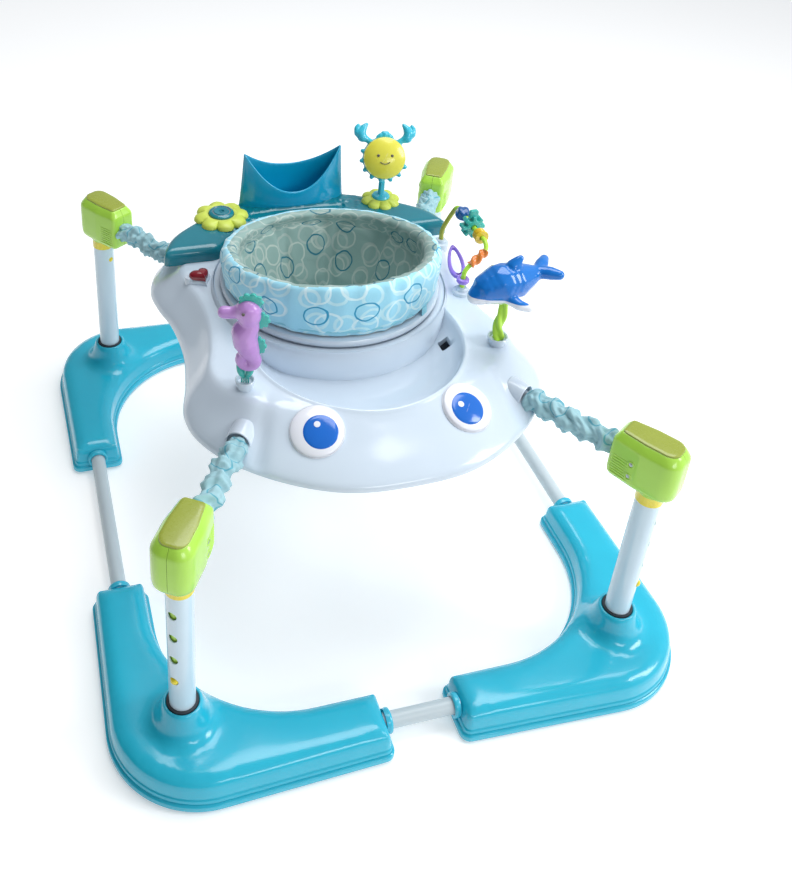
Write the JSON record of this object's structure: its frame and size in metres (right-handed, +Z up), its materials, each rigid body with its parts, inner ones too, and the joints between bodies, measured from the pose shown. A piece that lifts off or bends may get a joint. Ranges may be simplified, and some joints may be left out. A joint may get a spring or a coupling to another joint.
{
  "type": "activity jumper",
  "caption": "Baby activity jumper: floor frame with telescoping posts, a sprung tray with toys and a turning fabric seat.",
  "frame": {"origin": "on the floor, under the middle of the four-corner frame", "axes": "+X from the left posts to the right posts, +Y from the front to the back, +Z up"},
  "size_m": [0.83, 0.98, 0.55],
  "materials": {
    "base_blue": "glossy blow-moulded turquoise",
    "white_tube": "gloss white enamel",
    "lime_plastic": "glossy moulded lime",
    "yellow_plastic": "glossy moulded yellow",
    "sleeve_fabric": "gathered woven sleeve",
    "frame_steel": "satin grey-white enamel",
    "rubber": "moulded matt rubber",
    "screw_steel": "zinc plated",
    "tray_white": "glossy moulded white",
    "eye_white": "glossy white dome with a printed iris",
    "console_teal": "glossy teal with a water relief",
    "tail_blue": "glossy blue",
    "flower_lime": "soft-touch yellow-lime",
    "aqua_plastic": "glossy aqua",
    "sun_yellow": "glossy yellow with a printed smile",
    "heart_red": "deep red, glossy",
    "lilac_plastic": "glossy lilac",
    "stalk_lime": "flexible lime moulding",
    "whale_blue": "glossy blue back, white belly",
    "bead_yellow": "glossy",
    "bead_blue": "glossy",
    "leaf_purple": "glossy",
    "seat_cloth": "padded woven cloth printed with rings"
  },
  "bodies": {
    "base": {"base_shell_front_left": "base_blue", "post_tube_front_left": "white_tube", "base_shell_front_right": "base_blue", "post_tube_front_right": "white_tube", "base_shell_back_left": "base_blue", "post_tube_back_left": "white_tube", "base_shell_back_right": "base_blue", "post_tube_back_right": "white_tube", "frame_tube_front": "frame_steel", "frame_tube_back": "frame_steel", "frame_tube_left": "frame_steel", "frame_tube_right": "frame_steel", "base_plates": "base_blue", "feet": "rubber", "base_screws": "screw_steel", "post_bushes": "yellow_plastic", "socket_seals": "rubber"},
    "post_front_left": {"inner_post_front_left": "lime_plastic", "head_shell_a_front_left": "lime_plastic", "head_shell_b_front_left": "lime_plastic"},
    "button_front_left": {"snap_button_front_left": "yellow_plastic"},
    "post_front_right": {"inner_post_front_right": "lime_plastic", "head_shell_a_front_right": "lime_plastic", "head_shell_b_front_right": "lime_plastic"},
    "button_front_right": {"snap_button_front_right": "yellow_plastic"},
    "post_back_left": {"inner_post_back_left": "lime_plastic", "head_shell_a_back_left": "lime_plastic", "head_shell_b_back_left": "lime_plastic"},
    "button_back_left": {"snap_button_back_left": "yellow_plastic"},
    "post_back_right": {"inner_post_back_right": "lime_plastic", "head_shell_a_back_right": "lime_plastic", "head_shell_b_back_right": "lime_plastic"},
    "button_back_right": {"snap_button_back_right": "yellow_plastic"},
    "tray": {"tray_shell": "tray_white", "tray_underside": "tray_white", "eye_domes": "eye_white", "console": "console_teal", "fishtail": "tail_blue", "flower_petals": "flower_lime", "toy_sockets": "tray_white", "sun_stem": "aqua_plastic", "whale_stalk": "stalk_lime", "bead_arch": "stalk_lime", "springs": "screw_steel", "sleeve_front_left": "sleeve_fabric", "sleeve_front_right": "sleeve_fabric", "sleeve_back_left": "sleeve_fabric", "sleeve_back_right": "sleeve_fabric"},
    "seat": {"seat_ring": "tray_white", "seat_fabric": "seat_cloth"},
    "flower_button": {"flower_button": "console_teal"},
    "heart_knob": {"heart_knob": "heart_red"},
    "sun": {"sun_face": "sun_yellow"},
    "seahorse": {"seahorse_body": "lilac_plastic", "seahorse_fins": "aqua_plastic"},
    "whale": {"whale_body": "whale_blue"},
    "yellow_bead": {"yellow_bead": "bead_yellow"},
    "blue_bead": {"blue_bead": "bead_blue"},
    "gear_bead": {"gear_bead": "aqua_plastic"},
    "leaf_ring": {"leaf_ring": "leaf_purple"}
  },
  "joints": [
    {"name": "height_front_left", "type": "slide", "parent": "base", "child": "post_front_left", "axis": [0, 0, 1], "range_m": [0, 0.123]},
    {"name": "height_front_right", "type": "slide", "parent": "base", "child": "post_front_right", "axis": [0, 0, 1], "range_m": [0, 0.123]},
    {"name": "height_back_left", "type": "slide", "parent": "base", "child": "post_back_left", "axis": [0, 0, 1], "range_m": [0, 0.123]},
    {"name": "height_back_right", "type": "slide", "parent": "base", "child": "post_back_right", "axis": [0, 0, 1], "range_m": [0, 0.123]},
    {"name": "press_button_front_left", "type": "slide", "parent": "post_front_left", "child": "button_front_left", "axis": [0.7071, 0.7071, 0], "range_m": [0, 0.005], "stiffness_N_per_m": 600},
    {"name": "press_button_front_right", "type": "slide", "parent": "post_front_right", "child": "button_front_right", "axis": [-0.7071, 0.7071, 0], "range_m": [0, 0.005], "stiffness_N_per_m": 600},
    {"name": "press_button_back_left", "type": "slide", "parent": "post_back_left", "child": "button_back_left", "axis": [0.7071, -0.7071, 0], "range_m": [0, 0.005], "stiffness_N_per_m": 600},
    {"name": "press_button_back_right", "type": "slide", "parent": "post_back_right", "child": "button_back_right", "axis": [-0.7071, -0.7071, 0], "range_m": [0, 0.005], "stiffness_N_per_m": 600},
    {"name": "tray_bounce", "type": "slide", "parent": "post_front_left", "child": "tray", "axis": [0, 0, 1], "range_m": [-0.09, 0.03], "stiffness_N_per_m": 1500, "springref_m": 0.04643, "deforming": ["sleeve_front_left", "sleeve_front_right", "sleeve_back_left", "sleeve_back_right", "springs"]},
    {"name": "seat_turn", "type": "hinge", "parent": "tray", "child": "seat", "pos_m": [0, 0.058, 0.406], "axis": [0, 0, 1], "continuous": true},
    {"name": "press_flower", "type": "slide", "parent": "tray", "child": "flower_button", "axis": [0, 0, -1], "range_m": [0, 0.003], "stiffness_N_per_m": 400},
    {"name": "turn_heart", "type": "hinge", "parent": "tray", "child": "heart_knob", "pos_m": [-0.192, 0.112, 0.405], "axis": [0, 0, 1], "continuous": true},
    {"name": "turn_sun", "type": "hinge", "parent": "tray", "child": "sun", "pos_m": [0.15, 0.25, 0.45], "axis": [0, 0, 1], "continuous": true},
    {"name": "turn_seahorse", "type": "hinge", "parent": "tray", "child": "seahorse", "pos_m": [-0.182, -0.15, 0.42], "axis": [0, 0, 1], "continuous": true},
    {"name": "swing_whale", "type": "hinge", "parent": "tray", "child": "whale", "pos_m": [0.2, -0.135, 0.48], "axis": [0, 0, 1], "range_deg": [-60, 60], "stiffness_Nm_per_rad": 0.3},
    {"name": "spin_yellow_bead", "type": "hinge", "parent": "tray", "child": "yellow_bead", "pos_m": [0.236, 0.038, 0.466], "axis": [0, 1, 0], "continuous": true},
    {"name": "spin_gear_bead", "type": "hinge", "parent": "tray", "child": "gear_bead", "pos_m": [0.236, 0.068, 0.466], "axis": [0, 1, 0], "continuous": true},
    {"name": "spin_blue_bead", "type": "hinge", "parent": "tray", "child": "blue_bead", "pos_m": [0.236, 0.104, 0.466], "axis": [0, 1, 0], "continuous": true},
    {"name": "swing_leaf_ring", "type": "hinge", "parent": "tray", "child": "leaf_ring", "pos_m": [0.195, -0.006, 0.417], "axis": [0, 0, 1], "range_deg": [-50, 0]}
  ],
  "couplings": [
    {"joint": "height_front_right", "follows": "height_front_left", "ratio": 1},
    {"joint": "height_back_left", "follows": "height_front_left", "ratio": 1},
    {"joint": "height_back_right", "follows": "height_front_left", "ratio": 1}
  ]
}
